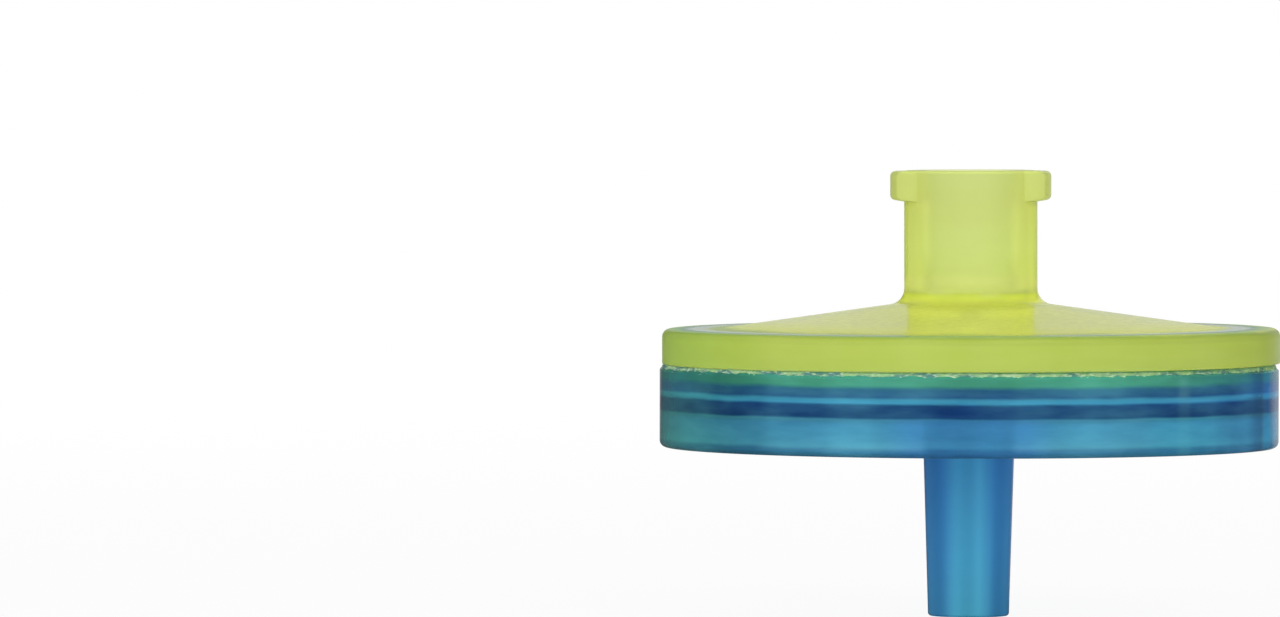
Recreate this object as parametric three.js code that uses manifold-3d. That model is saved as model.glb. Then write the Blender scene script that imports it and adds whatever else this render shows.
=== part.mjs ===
// Syringe filter, 25 mm class: a lime inlet housing, a blue outlet housing and the membrane
// that the two clamp between them. Millimetres, +Z up. The origin is the centre of the luer
// tip's end face, which is the lowest face of the part, and the flow axis is Z.

import * as THREE from 'three';
import { mergeVertices } from 'three/addons/utils/BufferGeometryUtils.js';
import Module from 'manifold-3d';

const wasm = await Module();
wasm.setup();

// ---------------------------------------------------------------- driving dimensions

// Membrane, and how the housings hold its edge.
const MEMBRANE_DIAMETER = 25.8;
const MEMBRANE_THICKNESS = 0.2;
const CLAMP_WIDTH = 0.55; // how far the tongue covers the membrane's edge
const SEAT_MARGIN = 1.1; // free seat between the membrane's edge and the cup wall

// Both luer cones taper by 6 % on the diameter.
const LUER_TAPER = 0.06;

// Outlet housing.
const CUP_WALL = 1.1;
const CUP_DEPTH = 1.53; // from the top of the cup wall down to the membrane seat
const PLATE_THICKNESS = 0.75;
const RECESS_DEPTH = 1.81; // from the skirt's lower edge up to the plate
const SKIRT_WALL = 1.6;
const SKIRT_EDGE_RADIUS = 0.32;
const WELD_CHAMFER_WIDTH = 0.35;
const WELD_CHAMFER_HEIGHT = 0.3;
const TIP_LENGTH = 8.24; // how far the tip stands below the skirt's lower edge
const TIP_END_DIAMETER = 3.95;
const TIP_EDGE_RADIUS = 0.16;
const TIP_BORE = 1.9;
const TIP_ROOT_RADIUS = 0.3; // fillet between the tip and the plate

// Drain grooves under the membrane.
const DRAIN_DEPTH = 0.3;
const DRAIN_RINGS = 5;
const DRAIN_RIDGE = 0.6; // width of each ring that carries the membrane
const DRAIN_EDGE = 0.2; // solid seat between the last groove and the clamped edge
const DRAIN_WELL = 0.9; // width of the open ring round the outlet bore
const DRAIN_SLOTS = 8;
const DRAIN_SLOT_WIDTH = 0.8;

// Inlet housing: rim, tongue and dome.
const RIM_HEIGHT = 1.65;
const RIM_LAND = 2.8; // flat ring round the foot of the dome
const RIM_EDGE_RADIUS = 0.38;
const TONGUE_CLEARANCE = 0.1; // between the tongue and the cup wall
const TONGUE_DRAFT = 0.12; // how far the tongue narrows towards its end
const DOME_SLOPE = 0.141;
const DOME_WALL = 1.1;
const CHAMBER_RADIUS = 0.5; // fillet at the outer edge of the chamber

// Inlet housing: boss and ribs over the membrane.
const BOSS_DIAMETER = 6.3;
const FLOW_GAP = 0.35; // between the membrane and the boss and ribs
const RIB_COUNT = 4;
const RIB_WIDTH = 1;
const RIB_LENGTH = 7.65; // measured out from the boss

// Inlet housing: luer socket.
const SOCKET_HEIGHT = 7.72; // above the rim
const SOCKET_DIAMETER = 6.5;
const SOCKET_EDGE_RADIUS = 0.15;
const SOCKET_FOOT_RADIUS = 0.8;
const SOCKET_BORE = 4.3; // at the mouth
const SOCKET_BORE_DEPTH = 6.1;
const SOCKET_MOUTH_CHAMFER = 0.12;

// Ports in the floor of the socket.
const PORT_COUNT = 4;
const PORT_APEX = 0.6; // distance of each port's inner corner from the axis
const PORT_MARGIN = 0.26; // between the ports' outer corners and the bore
const PORT_HALF_ANGLE = THREE.MathUtils.degToRad(29);

// Locking lugs.
const LUG_REACH = 0.68; // beyond the socket
const LUG_WIDTH = 3.86;
const LUG_CORNER_RADIUS = 1.2;
const LUG_EDGE_RADIUS = 0.25;
const LUG_HEIGHT = 1.5;
const LUG_TOP_DROP = 0.08; // from the socket's mouth down to the lug's upper edge
const LUG_UNDERCUT = 0.12; // how far the underside rises towards its outer edge

// Roundness of the turned surfaces.
const ROUND_SEGMENTS = 72;
const ARC_STEP = THREE.MathUtils.degToRad(30);
const OVERRUN = 1; // how far a cutting solid runs past the face that it opens
const MERGE_DISTANCE = 1e-5;

// ---------------------------------------------------------------- levels and radii

const membraneRadius = MEMBRANE_DIAMETER / 2;
const cupRadius = membraneRadius + SEAT_MARGIN;
const discRadius = cupRadius + CUP_WALL;
const tongueInnerRadius = membraneRadius - CLAMP_WIDTH;
const tongueOuterRadius = cupRadius - TONGUE_CLEARANCE;
const socketRadius = SOCKET_DIAMETER / 2;
const lugRadius = socketRadius + LUG_REACH;
const bossRadius = BOSS_DIAMETER / 2;
const tipBoreRadius = TIP_BORE / 2;

const skirtLevel = TIP_LENGTH;
const plateLevel = skirtLevel + RECESS_DEPTH;
const seatLevel = plateLevel + PLATE_THICKNESS;
const membraneLevel = seatLevel + MEMBRANE_THICKNESS; // upper face of the membrane
const seamLevel = seatLevel + CUP_DEPTH;
const rimLevel = seamLevel + RIM_HEIGHT;
const mouthLevel = rimLevel + SOCKET_HEIGHT;
const flowLevel = membraneLevel + FLOW_GAP;

const domeFootRadius = discRadius - RIM_LAND;
const socketFloorLevel = mouthLevel - SOCKET_BORE_DEPTH;
const socketFloorRadius = (SOCKET_BORE - LUER_TAPER * SOCKET_BORE_DEPTH) / 2;

/** Height of the dome's outer face at a radius. */
function domeLevel(radius) {
  return rimLevel + DOME_SLOPE * (domeFootRadius - radius);
}

/** Radius of the male cone at a height above its end. */
function tipRadius(level) {
  return (TIP_END_DIAMETER + LUER_TAPER * level) / 2;
}

// ---------------------------------------------------------------- outlines and solids

/** Points of the arc that rounds one corner, between its neighbours before and after it. */
function roundedCorner(before, corner, after) {
  const [x, y, radius = 0] = corner;
  const point = new THREE.Vector2(x, y);
  if (!radius || !before || !after) return [point];
  const toBefore = new THREE.Vector2(before[0], before[1]).sub(point);
  const toAfter = new THREE.Vector2(after[0], after[1]).sub(point);
  const halfAngle = Math.acos(toBefore.dot(toAfter) / toBefore.length() / toAfter.length()) / 2;
  const room = 0.48 * Math.min(toBefore.length(), toAfter.length());
  const reach = Math.min(radius / Math.tan(halfAngle), room);
  const start = point.clone().addScaledVector(toBefore.normalize(), reach);
  const end = point.clone().addScaledVector(toAfter.normalize(), reach);
  const bisector = toBefore.clone().add(toAfter).normalize();
  const centre = point.clone().addScaledVector(bisector, reach / Math.cos(halfAngle));
  const turn = Math.PI - 2 * halfAngle;
  const steps = Math.max(1, Math.ceil(turn / ARC_STEP));
  const side = Math.sign(start.clone().sub(centre).cross(end.clone().sub(centre)));
  const arc = [start];
  for (let step = 1; step < steps; step += 1) {
    arc.push(start.clone().rotateAround(centre, (side * turn * step) / steps));
  }
  return [...arc, end];
}

/** Outline through corners [x, y, radius], where a radius rounds its corner. */
function outline(corners, closed = false) {
  const last = corners.length - 1;
  return corners.flatMap((corner, i) => {
    const before = corners[i - 1] ?? (closed ? corners[last] : undefined);
    const after = corners[i + 1] ?? (closed ? corners[0] : undefined);
    return roundedCorner(before, corner, after);
  });
}

/** Manifold solid of a closed three.js geometry. */
function solidOf(geometry) {
  const bare = geometry.clone();
  bare.deleteAttribute('normal');
  bare.deleteAttribute('uv');
  const merged = mergeVertices(bare, MERGE_DISTANCE);
  const index = merged.index.array;
  const triangles = [];
  for (let i = 0; i < index.length; i += 3) {
    const [a, b, c] = index.slice(i, i + 3);
    if (a !== b && b !== c && c !== a) triangles.push(a, b, c);
  }
  const mesh = new wasm.Mesh({
    numProp: 3,
    vertProperties: Float32Array.from(merged.attributes.position.array),
    triVerts: Uint32Array.from(triangles),
  });
  return new wasm.Manifold(mesh);
}

/** Solid turned about Z from an outline of [radius, level, fillet] corners. */
function turned(corners, closed = false) {
  const points = outline(corners, closed);
  if (closed) points.push(points[0].clone());
  const geometry = new THREE.LatheGeometry(points, ROUND_SEGMENTS);
  return solidOf(geometry.rotateX(Math.PI / 2));
}

/** Upright prism between two levels over an outline of [x, y, fillet] corners. */
function prism(corners, bottom, top) {
  const shape = new THREE.Shape(outline(corners, true));
  const geometry = new THREE.ExtrudeGeometry(shape, { depth: top - bottom, bevelEnabled: false });
  return solidOf(geometry.translate(0, 0, bottom));
}

/** Wall of a given width that stands along +X over an outline of [x, z] corners. */
function radialWall(corners, width) {
  const shape = new THREE.Shape(outline(corners, true));
  const geometry = new THREE.ExtrudeGeometry(shape, { depth: width, bevelEnabled: false });
  return solidOf(geometry.translate(0, 0, -width / 2).rotateX(Math.PI / 2));
}

/** Copies of a solid, set evenly round the Z axis and joined. */
function ringOf(solid, count) {
  const step = 360 / count;
  const copies = Array.from({ length: count }, (_, i) => solid.rotate([0, 0, i * step]));
  return copies.reduce((joined, copy) => joined.add(copy));
}

/** Mesh of a manifold solid, with flat-shaded faces. */
function meshOf(name, solid, material) {
  const { vertProperties, triVerts, numProp } = solid.getMesh();
  const positions = new Float32Array(triVerts.length * 3);
  triVerts.forEach((vertex, i) => {
    positions.set(vertProperties.subarray(vertex * numProp, vertex * numProp + 3), i * 3);
  });
  const geometry = new THREE.BufferGeometry();
  geometry.setAttribute('position', new THREE.BufferAttribute(positions, 3));
  geometry.computeVertexNormals();
  const mesh = new THREE.Mesh(geometry, material);
  mesh.name = name;
  return mesh;
}

// ---------------------------------------------------------------- inlet housing

/** Rim, tongue, dome, boss and a still solid socket, as one turned body. */
function inletBody() {
  const socketFoot = domeLevel(socketRadius);
  const chamberCeiling = domeLevel(tongueInnerRadius) - DOME_WALL;
  const bossTop = domeLevel(bossRadius) - DOME_WALL;
  return turned([
    [0, flowLevel],
    [bossRadius, flowLevel],
    [bossRadius, bossTop],
    [tongueInnerRadius, chamberCeiling, CHAMBER_RADIUS],
    [tongueInnerRadius, membraneLevel],
    [tongueOuterRadius - TONGUE_DRAFT, membraneLevel],
    [tongueOuterRadius, seamLevel],
    [discRadius, seamLevel],
    [discRadius, rimLevel, RIM_EDGE_RADIUS],
    [domeFootRadius, rimLevel],
    [socketRadius, socketFoot, SOCKET_FOOT_RADIUS],
    [socketRadius, mouthLevel, SOCKET_EDGE_RADIUS],
    [0, mouthLevel],
  ]);
}

/** Tapered bore of the luer socket, with a small chamfer at the mouth. */
function socketBore() {
  const mouthRadius = SOCKET_BORE / 2;
  return turned([
    [0, socketFloorLevel],
    [socketFloorRadius, socketFloorLevel],
    [mouthRadius, mouthLevel - SOCKET_MOUTH_CHAMFER],
    [mouthRadius + SOCKET_MOUTH_CHAMFER, mouthLevel],
    [mouthRadius + SOCKET_MOUTH_CHAMFER, mouthLevel + OVERRUN],
    [0, mouthLevel + OVERRUN],
  ]);
}

/** Triangular ports from the socket's floor down through the boss. */
function ports() {
  const cornerRadius = socketFloorRadius - PORT_MARGIN;
  const base = cornerRadius * Math.cos(PORT_HALF_ANGLE);
  const halfWidth = cornerRadius * Math.sin(PORT_HALF_ANGLE);
  const corners = [[PORT_APEX, 0], [base, -halfWidth], [base, halfWidth]];
  return ringOf(prism(corners, flowLevel - OVERRUN, socketFloorLevel + OVERRUN), PORT_COUNT);
}

/** Ribs that run out from the boss under the dome. */
function ribs() {
  const start = bossRadius / 2;
  const end = bossRadius + RIB_LENGTH;
  const sunk = DOME_WALL / 2;
  const corners = [
    [start, flowLevel],
    [end, flowLevel],
    [end, domeLevel(end) - sunk],
    [start, domeLevel(start) - sunk],
  ];
  return ringOf(radialWall(corners, RIB_WIDTH), RIB_COUNT);
}

/** The two locking lugs, joined across the still solid socket. */
function lugs() {
  const top = mouthLevel - LUG_TOP_DROP;
  const bottom = top - LUG_HEIGHT;
  const flange = turned([
    [0, bottom],
    [socketRadius, bottom],
    [lugRadius, bottom + LUG_UNDERCUT, LUG_EDGE_RADIUS],
    [lugRadius, top, LUG_EDGE_RADIUS],
    [0, top],
  ]);
  const halfWidth = LUG_WIDTH / 2;
  const corners = [
    [-lugRadius, -halfWidth, LUG_CORNER_RADIUS],
    [lugRadius, -halfWidth, LUG_CORNER_RADIUS],
    [lugRadius, halfWidth, LUG_CORNER_RADIUS],
    [-lugRadius, halfWidth, LUG_CORNER_RADIUS],
  ];
  return flange.intersect(prism(corners, bottom - OVERRUN, top + OVERRUN));
}

function inletHousing() {
  const body = inletBody().add(lugs()).add(ribs());
  return body.subtract(socketBore()).subtract(ports());
}

// ---------------------------------------------------------------- outlet housing

/** Corners of the ring-shaped ridges that carry the membrane, from the outside in. */
function drainCorners() {
  const floor = seatLevel - DRAIN_DEPTH;
  const outer = tongueInnerRadius - DRAIN_EDGE;
  const inner = tipBoreRadius + DRAIN_WELL;
  const pitch = (outer - inner) / DRAIN_RINGS;
  const corners = [];
  for (let ring = 0; ring < DRAIN_RINGS; ring += 1) {
    const grooveOuter = outer - ring * pitch;
    const grooveInner = grooveOuter - pitch + DRAIN_RIDGE;
    corners.push([grooveOuter, seatLevel], [grooveOuter, floor]);
    corners.push([grooveInner, floor], [grooveInner, seatLevel]);
  }
  return [...corners, [inner, seatLevel], [inner, floor]];
}

/** Cup, plate, skirt, tip and bore, as one turned body. */
function outletBody() {
  const skirtRadius = discRadius - SKIRT_WALL;
  return turned([
    [tipBoreRadius, 0],
    [tipRadius(0), 0, TIP_EDGE_RADIUS],
    [tipRadius(plateLevel), plateLevel, TIP_ROOT_RADIUS],
    [skirtRadius, plateLevel],
    [skirtRadius, skirtLevel],
    [discRadius, skirtLevel, SKIRT_EDGE_RADIUS],
    [discRadius, seamLevel - WELD_CHAMFER_HEIGHT],
    [discRadius - WELD_CHAMFER_WIDTH, seamLevel],
    [cupRadius, seamLevel],
    [cupRadius, seatLevel],
    ...drainCorners(),
    [tipBoreRadius, seatLevel - DRAIN_DEPTH],
  ], true);
}

/** Radial slots that lead the filtrate through the ridges to the bore. */
function drainSlots() {
  const end = tongueInnerRadius - DRAIN_EDGE;
  const start = tipBoreRadius;
  const halfWidth = DRAIN_SLOT_WIDTH / 2;
  const corners = [[start, -halfWidth], [end, -halfWidth], [end, halfWidth], [start, halfWidth]];
  return ringOf(prism(corners, seatLevel - DRAIN_DEPTH, seatLevel + OVERRUN), DRAIN_SLOTS);
}

function outletHousing() {
  return outletBody().subtract(drainSlots());
}

// ---------------------------------------------------------------- membrane

function membrane() {
  return turned([
    [0, seatLevel],
    [membraneRadius, seatLevel],
    [membraneRadius, membraneLevel],
    [0, membraneLevel],
  ]);
}

// ---------------------------------------------------------------- the part

const limePlastic = new THREE.MeshStandardMaterial({
  color: 0xc3d764,
  roughness: 0.42,
  metalness: 0,
});
const bluePlastic = new THREE.MeshStandardMaterial({
  color: 0x2f7fb0,
  roughness: 0.3,
  metalness: 0,
});
const membraneWhite = new THREE.MeshStandardMaterial({
  color: 0xf4f4ef,
  roughness: 0.9,
  metalness: 0,
});

const syringeFilter = new THREE.Group();
syringeFilter.add(meshOf('outlet_housing', outletHousing(), bluePlastic));
syringeFilter.add(meshOf('membrane', membrane(), membraneWhite));
syringeFilter.add(meshOf('inlet_housing', inletHousing(), limePlastic));

export default syringeFilter;
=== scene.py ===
"""Looks of a 25 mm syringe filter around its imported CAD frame.

Two translucent polypropylene mouldings are modelled hollow, as the real ones are, with the
membrane between them and the rough melt of the weld round the waist. Metres throughout, +Z up,
origin at the centre of the outlet tip's end face.
"""

import logging
import math
import random
from collections.abc import Callable
from dataclasses import dataclass
from enum import Enum

import bpy
from mathutils import Euler, Matrix, Vector


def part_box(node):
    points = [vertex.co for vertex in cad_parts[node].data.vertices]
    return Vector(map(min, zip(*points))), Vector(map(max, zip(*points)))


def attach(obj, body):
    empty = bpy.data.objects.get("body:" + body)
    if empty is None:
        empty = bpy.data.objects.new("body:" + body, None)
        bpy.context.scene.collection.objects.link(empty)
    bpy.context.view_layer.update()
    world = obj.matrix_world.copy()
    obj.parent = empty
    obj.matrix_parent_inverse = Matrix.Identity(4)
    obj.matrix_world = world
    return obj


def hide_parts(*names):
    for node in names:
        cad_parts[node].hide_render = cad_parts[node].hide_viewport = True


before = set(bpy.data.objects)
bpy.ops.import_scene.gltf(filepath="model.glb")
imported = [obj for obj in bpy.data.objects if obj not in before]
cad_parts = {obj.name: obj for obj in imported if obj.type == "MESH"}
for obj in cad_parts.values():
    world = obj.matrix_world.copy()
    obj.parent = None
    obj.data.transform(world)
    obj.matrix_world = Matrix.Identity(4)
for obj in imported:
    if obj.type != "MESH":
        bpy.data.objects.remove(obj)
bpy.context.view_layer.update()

MM = 0.001
LOG = logging.getLogger("syringe_filter")
SKIN = "skin"
NOISE_RANGE = (0.3, 0.7)

Colour = tuple[float, float, float]
Place = tuple[float, float, float]
Span = tuple[float, float]
Piece = bpy.types.Object
Socket = bpy.types.NodeSocket


# ---------------- sizes


@dataclass(frozen=True)
class Gauge:
    """Levels and radii of the filter, in metres, most of them read from the CAD nodes' boxes.

    Args:
        disc: Radius of the disc.
        seat: Level of the membrane's lower face.
        membrane_top: Level of the membrane's upper face.
        seam: Level where the two housings meet.
        mouth: Level of the luer socket's mouth.
        membrane: Radius of the membrane.
        skirt: Level of the skirt's lower edge.
        hair: Gap between two pieces that lie on each other.
    """

    disc: float
    seat: float
    membrane_top: float
    seam: float
    mouth: float
    membrane: float
    skirt: float = 8.24 * MM
    hair: float = 0.004 * MM

    @classmethod
    def from_frame(cls) -> "Gauge":
        """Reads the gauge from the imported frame.

        Returns:
            The gauge of this filter.
        """
        _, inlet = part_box("inlet_housing")
        _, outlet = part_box("outlet_housing")
        film_low, film_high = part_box("membrane")
        return cls(
            disc=outlet.x,
            seat=film_low.z,
            membrane_top=film_high.z,
            seam=outlet.z,
            mouth=inlet.z,
            membrane=film_high.x,
        )


# ---------------- modelling by hand


@dataclass(frozen=True)
class Corner:
    """One corner of a turned outline: its radius, its level and the radius that rounds it."""

    radius: float
    level: float
    fillet: float = 0.0

    def point(self) -> Vector:
        """Place of the corner in the plane of the outline."""
        return Vector((self.radius, self.level))


class Select(Enum):
    """Kinds of mesh element that a test picks."""

    VERT = "VERT"
    EDGE = "EDGE"


class Combine(Enum):
    """Ways to make one solid of two."""

    UNION = "UNION"
    DIFFERENCE = "DIFFERENCE"
    INTERSECT = "INTERSECT"


def deselect_all() -> None:
    """Leaves edit mode and deselects every object."""
    if bpy.context.object and bpy.context.object.mode != "OBJECT":
        bpy.ops.object.mode_set(mode="OBJECT")
    bpy.ops.object.select_all(action="DESELECT")


def activate(*pieces: Piece) -> None:
    """Selects some pieces and no others, and makes the first one the active object.

    Args:
        pieces: The objects to work on.
    """
    deselect_all()
    for piece in pieces:
        piece.select_set(True)
    bpy.context.view_layer.objects.active = pieces[0]


def added(name: str) -> Piece:
    """Names the object that an operator has just added, and returns it."""
    bpy.context.object.name = name
    return bpy.context.object


def edit(piece: Piece, kind: Select) -> None:
    """Opens a piece in edit mode with all of it selected.

    Args:
        piece: The object to open.
        kind: The element that selections are made of.
    """
    activate(piece)
    bpy.ops.object.mode_set(mode="EDIT")
    bpy.ops.mesh.select_mode(type=kind.value)
    bpy.ops.mesh.select_all(action="SELECT")


def pick(piece: Piece, kind: Select, test: Callable[..., bool]) -> None:
    """Selects the vertices or edges that pass a test, and leaves the piece in edit mode.

    Args:
        piece: The object to select in.
        kind: Vertices or edges.
        test: Says of a vertex's place, or of the places of an edge's two ends, whether it is wanted.
    """
    edit(piece, kind)
    bpy.ops.mesh.select_all(action="DESELECT")
    bpy.ops.object.mode_set(mode="OBJECT")
    mesh = piece.data
    for element in mesh.vertices if kind is Select.VERT else mesh.edges:
        corners = [element.index] if kind is Select.VERT else element.vertices
        element.select = test(*(mesh.vertices[index].co for index in corners))
    bpy.ops.object.mode_set(mode="EDIT")


def rounded(outline: list[Corner], closed: bool, step: float) -> list[Vector]:
    """Replaces each corner that has a fillet with the points of its arc.

    Args:
        outline: Corners in order.
        closed: Whether the last corner meets the first.
        step: Largest turn between two points of an arc, in radians.

    Returns:
        Points of the outline as (radius, level).
    """
    largest_share = 0.48
    points: list[Vector] = []
    last = len(outline) - 1
    for index, corner in enumerate(outline):
        here = corner.point()
        if corner.fillet == 0 or (not closed and index in (0, last)):
            points.append(here)
            continue
        back = outline[index - 1].point() - here
        ahead = outline[(index + 1) % len(outline)].point() - here
        half = back.angle(ahead) / 2
        reach = min(corner.fillet / math.tan(half), largest_share * min(back.length, ahead.length))
        start = here + back.normalized() * reach
        end = here + ahead.normalized() * reach
        centre = here + (back.normalized() + ahead.normalized()).normalized() * (reach / math.cos(half))
        arm = start - centre
        turn = math.pi - 2 * half
        count = max(2, math.ceil(turn / step))
        sign = 1 if arm.cross(end - centre) > 0 else -1
        for part in range(count + 1):
            angle = sign * turn * part / count
            cosine, sine = math.cos(angle), math.sin(angle)
            turned = Vector((arm.x * cosine - arm.y * sine, arm.x * sine + arm.y * cosine))
            points.append(centre + turned)
    return points


def turn_piece(
    name: str,
    outline: list[Corner],
    closed: bool,
    sides: int = 192,
    arc_step: float = math.radians(15),
) -> Piece:
    """Models a turned solid: a circle is extruded ring by ring, and each ring is sized and lifted.

    Args:
        name: Name of the new object.
        outline: Corners of the section, at a radius above zero.
        closed: Whether the last ring meets the first; otherwise both end rings are filled.
        sides: Number of sides round the axis.
        arc_step: Largest turn between two rings of a rounded corner.

    Returns:
        The new object, with its place in its mesh.
    """
    points = rounded(outline, closed, arc_step)
    first = points[0]
    deselect_all()
    bpy.ops.mesh.primitive_circle_add(vertices=sides, radius=first.x, fill_type="NOTHING")
    piece = added(name)
    edit(piece, Select.EDGE)
    bpy.ops.transform.translate(value=(0, 0, first.y))
    if not closed:
        bpy.ops.mesh.edge_face_add()
        edit(piece, Select.EDGE)
    for before, point in zip(points, points[1:] + ([first] if closed else [])):
        bpy.ops.mesh.extrude_edges_move()
        ratio = point.x / before.x
        bpy.ops.transform.resize(value=(ratio, ratio, 1), center_override=(0, 0, 0))
        bpy.ops.transform.translate(value=(0, 0, point.y - before.y))
    if not closed:
        bpy.ops.mesh.edge_face_add()
    merge_doubles(1e-7)
    return piece


def merge_doubles(distance: float) -> None:
    """Merges doubles in the piece that is open, turns its faces outwards and leaves edit mode.

    Args:
        distance: Largest gap between two vertices that become one.
    """
    bpy.ops.mesh.select_all(action="SELECT")
    bpy.ops.mesh.remove_doubles(threshold=distance)
    bpy.ops.mesh.normals_make_consistent(inside=False)
    bpy.ops.object.mode_set(mode="OBJECT")


def block(name: str, low: Place, high: Place) -> Piece:
    """Adds an upright block between two opposite corners, as the start of a tool or a rib.

    Args:
        name: Name of the new object.
        low: Lowest corner.
        high: Highest corner.

    Returns:
        The new object, with its place in its mesh.
    """
    deselect_all()
    bpy.ops.mesh.primitive_cube_add(size=1)
    piece = added(name)
    edit(piece, Select.VERT)
    bpy.ops.transform.resize(value=[b - a for a, b in zip(low, high)])
    bpy.ops.transform.translate(value=[(a + b) / 2 for a, b in zip(low, high)])
    bpy.ops.object.mode_set(mode="OBJECT")
    return piece


def join(pieces: list[Piece]) -> Piece:
    """Joins pieces into the first of them.

    Args:
        pieces: The pieces to join.

    Returns:
        The first piece, with all the meshes.
    """
    activate(*pieces)
    bpy.ops.object.join()
    return pieces[0]


def ring_copies(piece: Piece, count: int) -> Piece:
    """Repeats a piece evenly round the axis and joins the copies, each with its own mesh.

    Args:
        piece: The piece to repeat.
        count: How many there are in the end.

    Returns:
        One object with all of them.
    """
    copies = [piece]
    for index in range(1, count):
        activate(piece)
        bpy.ops.object.duplicate(linked=False)
        copies.append(bpy.context.object)
        edit(copies[-1], Select.VERT)
        angle = math.tau * index / count
        bpy.ops.transform.rotate(value=angle, orient_axis="Z", center_override=(0, 0, 0))
        bpy.ops.object.mode_set(mode="OBJECT")
    return join(copies)


def combine(body: Piece, tool: Piece, how: Combine) -> None:
    """Joins, cuts or keeps the common part of two solids, and removes the second one.

    Args:
        body: The solid that is changed.
        tool: The solid that is used up.
        how: What becomes of the two.
    """
    activate(body)
    modifier = body.modifiers.new(how.value.title(), "BOOLEAN")
    modifier.operation = how.value
    modifier.solver = "EXACT"
    modifier.object = tool
    bpy.ops.object.modifier_apply(modifier=modifier.name)
    bpy.data.objects.remove(tool)


def smooth(piece: Piece, angle: float = 32.0) -> None:
    """Shades a piece smooth where its faces meet at less than an angle.

    Args:
        piece: The piece to shade.
        angle: The angle, in degrees.
    """
    activate(piece)
    bpy.ops.object.shade_smooth_by_angle(angle=math.radians(angle))
    deselect_all()


def mark_skin(piece: Piece, test: Callable[[float, float], bool]) -> None:
    """Marks the faces of a piece that are its outer skin.

    Args:
        piece: The piece to mark.
        test: Says of a face's radius and level whether it is skin.
    """
    layer = piece.data.attributes.new(SKIN, "FLOAT", "FACE")
    for face in piece.data.polygons:
        radius = max(piece.data.vertices[index].co.xy.length for index in face.vertices)
        layer.data[face.index].value = float(test(radius, face.center.z))


def askew(piece: Piece, hinge: Vector, lift: float, shift: float) -> None:
    """Turns a piece about a hinge so that its +X side rises, and shifts it along +X."""
    turn = Matrix.Translation(hinge) @ Matrix.Rotation(-lift, 4, "Y") @ Matrix.Translation(-hinge)
    piece.data.transform(Matrix.Translation((shift, 0, 0)) @ turn)


def paint(piece: Piece, material: bpy.types.Material) -> None:
    """Gives a piece one material, in place of any it has."""
    piece.data.materials.clear()
    piece.data.materials.append(material)


# ---------------- material graphs


class Curve(Enum):
    """Ways for a value to go from one end of a range to the other."""

    STRAIGHT = "LINEAR"
    EASED = "SMOOTHSTEP"


class Blend(Enum):
    """Ways for a colour to act on the one under it."""

    MIX = "MIX"
    MULTIPLY = "MULTIPLY"


class Along(Enum):
    """What a soft edge on a piece is measured along."""

    X = "X"
    ASIDE = "distance from the mid plane"
    LEVEL = "level"
    RADIUS = "distance from the axis"

    def eased(self, none: float, full: float) -> "Edge":
        """Edge whose share eases from 0 at one place to 1 at another, in millimetres."""
        return Edge(self, none * MM, full * MM, Curve.EASED)

    def even(self, none: float, full: float) -> "Edge":
        """Edge whose share grows evenly from 0 at one place to 1 at another, in millimetres."""
        return Edge(self, none * MM, full * MM, Curve.STRAIGHT)


@dataclass(frozen=True)
class Edge:
    """Soft edge of a region, whose share is none up to one place and full from another one on."""

    along: Along
    none: float
    full: float
    curve: Curve


@dataclass(frozen=True)
class Band:
    """Shade and clarity of a skin at one level or radius, in metres."""

    level: float
    colour: Colour
    clarity: float


@dataclass(frozen=True)
class Region:
    """A part of the skin that has a tint or a shade painted on it: some are its own colour, most are painted
    light and shade.

    Args:
        colour: The tint or shade.
        edges: Soft edges, whose shares are multiplied.
        blend: How the colour acts on the skin's.
        strength: Share of the colour where the region is full.
    """

    colour: Colour
    edges: tuple[Edge, ...]
    blend: Blend
    strength: float = 1.0

    @classmethod
    def tint(cls, colour: Colour, *edges: Edge) -> "Region":
        """Region whose colour is multiplied by a tint."""
        return cls(colour, edges, Blend.MULTIPLY)

    @classmethod
    def shade(cls, colour: Colour, strength: float, *edges: Edge) -> "Region":
        """Region with a share of another colour mixed in."""
        return cls(colour, edges, Blend.MIX, strength)


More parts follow.
